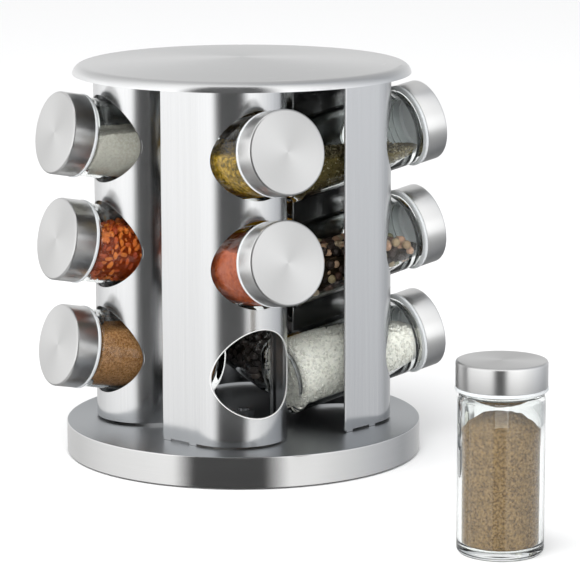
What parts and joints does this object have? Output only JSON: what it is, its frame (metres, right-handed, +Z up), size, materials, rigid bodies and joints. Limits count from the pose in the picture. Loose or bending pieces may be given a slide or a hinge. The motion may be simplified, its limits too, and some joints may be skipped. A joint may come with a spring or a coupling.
{
  "type": "spice carousel",
  "caption": "Round turning spice rack: bent steel holders on a ball-bearing base under a domed top, tilted seats for glass jars with steel screw lids.",
  "frame": {"origin": "on the spin axis, at the underside of the foot's rubber pad", "axes": "+Z up along the spin axis; -Y towards the side with the empty jar seat; +X to the right seen from there"},
  "size_m": [0.2642, 0.3387, 0.2118],
  "materials": {
    "jar_glass": "clear soda glass with a faint green tint",
    "lid_plastic": "white polypropylene",
    "lid_steel": "brushed stainless steel",
    "holder_steel": "stainless steel, fine vertical brushing",
    "cover_steel": "stainless steel, fine brushing round the rim",
    "plain_steel": "bright zinc-plated steel",
    "ball_steel": "polished bearing steel",
    "black_plastic": "moulded, lightly grained",
    "cage_plastic": "natural acetal",
    "rubber": "soft non-slip sheet"
  },
  "bodies": {
    "foot": {"rubber_pad": "rubber", "foot_plate": "black_plastic", "lower_race": "plain_steel", "lower_race_rivets": "plain_steel"},
    "ball_set": {"bearing_balls": "ball_steel", "ball_cage": "cage_plastic"},
    "rack": {"upper_race": "plain_steel", "upper_race_rivets": "plain_steel", "base_carrier": "black_plastic", "base_shell": "cover_steel", "holder_front": "holder_steel", "holder_right": "holder_steel", "holder_back": "holder_steel", "holder_left": "holder_steel", "pivot_bolt": "plain_steel", "pivot_nut": "plain_steel", "pivot_washer": "plain_steel", "top_inner_plate": "plain_steel", "top_plate": "cover_steel"},
    "jar_front_top": {"glass_front_top": "jar_glass"},
    "lid_front_top": {"lid_insert_front_top": "lid_plastic", "lid_shell_front_top": "lid_steel"},
    "jar_front_middle": {"glass_front_middle": "jar_glass"},
    "lid_front_middle": {"lid_insert_front_middle": "lid_plastic", "lid_shell_front_middle": "lid_steel"},
    "jar_right_top": {"glass_right_top": "jar_glass"},
    "lid_right_top": {"lid_insert_right_top": "lid_plastic", "lid_shell_right_top": "lid_steel"},
    "jar_right_middle": {"glass_right_middle": "jar_glass"},
    "lid_right_middle": {"lid_insert_right_middle": "lid_plastic", "lid_shell_right_middle": "lid_steel"},
    "jar_right_bottom": {"glass_right_bottom": "jar_glass"},
    "lid_right_bottom": {"lid_insert_right_bottom": "lid_plastic", "lid_shell_right_bottom": "lid_steel"},
    "jar_back_top": {"glass_back_top": "jar_glass"},
    "lid_back_top": {"lid_insert_back_top": "lid_plastic", "lid_shell_back_top": "lid_steel"},
    "jar_back_middle": {"glass_back_middle": "jar_glass"},
    "lid_back_middle": {"lid_insert_back_middle": "lid_plastic", "lid_shell_back_middle": "lid_steel"},
    "jar_back_bottom": {"glass_back_bottom": "jar_glass"},
    "lid_back_bottom": {"lid_insert_back_bottom": "lid_plastic", "lid_shell_back_bottom": "lid_steel"},
    "jar_left_top": {"glass_left_top": "jar_glass"},
    "lid_left_top": {"lid_insert_left_top": "lid_plastic", "lid_shell_left_top": "lid_steel"},
    "jar_left_middle": {"glass_left_middle": "jar_glass"},
    "lid_left_middle": {"lid_insert_left_middle": "lid_plastic", "lid_shell_left_middle": "lid_steel"},
    "jar_left_bottom": {"glass_left_bottom": "jar_glass"},
    "lid_left_bottom": {"lid_insert_left_bottom": "lid_plastic", "lid_shell_left_bottom": "lid_steel"},
    "jar_loose": {"glass_loose": "jar_glass"},
    "lid_loose": {"lid_insert_loose": "lid_plastic", "lid_shell_loose": "lid_steel"}
  },
  "joints": [
    {"name": "rack_spin", "type": "hinge", "parent": "foot", "child": "rack", "pos_m": [0, 0, 0], "axis": [0, 0, 1], "continuous": true},
    {"name": "ball_set_spin", "type": "hinge", "parent": "foot", "child": "ball_set", "pos_m": [0, 0, 0], "axis": [0, 0, 1], "continuous": true},
    {"name": "jar_front_top_slide", "type": "slide", "parent": "rack", "child": "jar_front_top", "axis": [0.5399, -0.8188, 0.1953], "range_m": [0, 0.07]},
    {"name": "lid_front_top_off", "type": "slide", "parent": "jar_front_top", "child": "lid_front_top", "axis": [0.5399, -0.8188, 0.1953], "range_m": [0, 0.03]},
    {"name": "jar_front_middle_slide", "type": "slide", "parent": "rack", "child": "jar_front_middle", "axis": [0.5399, -0.8188, 0.1953], "range_m": [0, 0.07]},
    {"name": "lid_front_middle_off", "type": "slide", "parent": "jar_front_middle", "child": "lid_front_middle", "axis": [0.5399, -0.8188, 0.1953], "range_m": [0, 0.03]},
    {"name": "jar_right_top_slide", "type": "slide", "parent": "rack", "child": "jar_right_top", "axis": [0.8188, 0.5399, 0.1953], "range_m": [0, 0.07]},
    {"name": "lid_right_top_off", "type": "slide", "parent": "jar_right_top", "child": "lid_right_top", "axis": [0.8188, 0.5399, 0.1953], "range_m": [0, 0.03]},
    {"name": "jar_right_middle_slide", "type": "slide", "parent": "rack", "child": "jar_right_middle", "axis": [0.8188, 0.5399, 0.1953], "range_m": [0, 0.07]},
    {"name": "lid_right_middle_off", "type": "slide", "parent": "jar_right_middle", "child": "lid_right_middle", "axis": [0.8188, 0.5399, 0.1953], "range_m": [0, 0.03]},
    {"name": "jar_right_bottom_slide", "type": "slide", "parent": "rack", "child": "jar_right_bottom", "axis": [0.8188, 0.5399, 0.1953], "range_m": [0, 0.07]},
    {"name": "lid_right_bottom_off", "type": "slide", "parent": "jar_right_bottom", "child": "lid_right_bottom", "axis": [0.8188, 0.5399, 0.1953], "range_m": [0, 0.03]},
    {"name": "jar_back_top_slide", "type": "slide", "parent": "rack", "child": "jar_back_top", "axis": [-0.5399, 0.8188, 0.1953], "range_m": [0, 0.07]},
    {"name": "lid_back_top_off", "type": "slide", "parent": "jar_back_top", "child": "lid_back_top", "axis": [-0.5399, 0.8188, 0.1953], "range_m": [0, 0.03]},
    {"name": "jar_back_middle_slide", "type": "slide", "parent": "rack", "child": "jar_back_middle", "axis": [-0.5399, 0.8188, 0.1953], "range_m": [0, 0.07]},
    {"name": "lid_back_middle_off", "type": "slide", "parent": "jar_back_middle", "child": "lid_back_middle", "axis": [-0.5399, 0.8188, 0.1953], "range_m": [0, 0.03]},
    {"name": "jar_back_bottom_slide", "type": "slide", "parent": "rack", "child": "jar_back_bottom", "axis": [-0.5399, 0.8188, 0.1953], "range_m": [0, 0.07]},
    {"name": "lid_back_bottom_off", "type": "slide", "parent": "jar_back_bottom", "child": "lid_back_bottom", "axis": [-0.5399, 0.8188, 0.1953], "range_m": [0, 0.03]},
    {"name": "jar_left_top_slide", "type": "slide", "parent": "rack", "child": "jar_left_top", "axis": [-0.8188, -0.5399, 0.1953], "range_m": [0, 0.07]},
    {"name": "lid_left_top_off", "type": "slide", "parent": "jar_left_top", "child": "lid_left_top", "axis": [-0.8188, -0.5399, 0.1953], "range_m": [0, 0.03]},
    {"name": "jar_left_middle_slide", "type": "slide", "parent": "rack", "child": "jar_left_middle", "axis": [-0.8188, -0.5399, 0.1953], "range_m": [0, 0.07]},
    {"name": "lid_left_middle_off", "type": "slide", "parent": "jar_left_middle", "child": "lid_left_middle", "axis": [-0.8188, -0.5399, 0.1953], "range_m": [0, 0.03]},
    {"name": "jar_left_bottom_slide", "type": "slide", "parent": "rack", "child": "jar_left_bottom", "axis": [-0.8188, -0.5399, 0.1953], "range_m": [0, 0.07]},
    {"name": "lid_left_bottom_off", "type": "slide", "parent": "jar_left_bottom", "child": "lid_left_bottom", "axis": [-0.8188, -0.5399, 0.1953], "range_m": [0, 0.03]},
    {"name": "jar_loose_lift", "type": "slide", "parent": "foot", "child": "jar_loose", "axis": [0, 0, 1], "range_m": [0, 0.1]},
    {"name": "lid_loose_off", "type": "slide", "parent": "jar_loose", "child": "lid_loose", "axis": [0, 0, 1], "range_m": [0, 0.03]}
  ],
  "couplings": [
    {"joint": "ball_set_spin", "follows": "rack_spin", "ratio": 0.5}
  ]
}
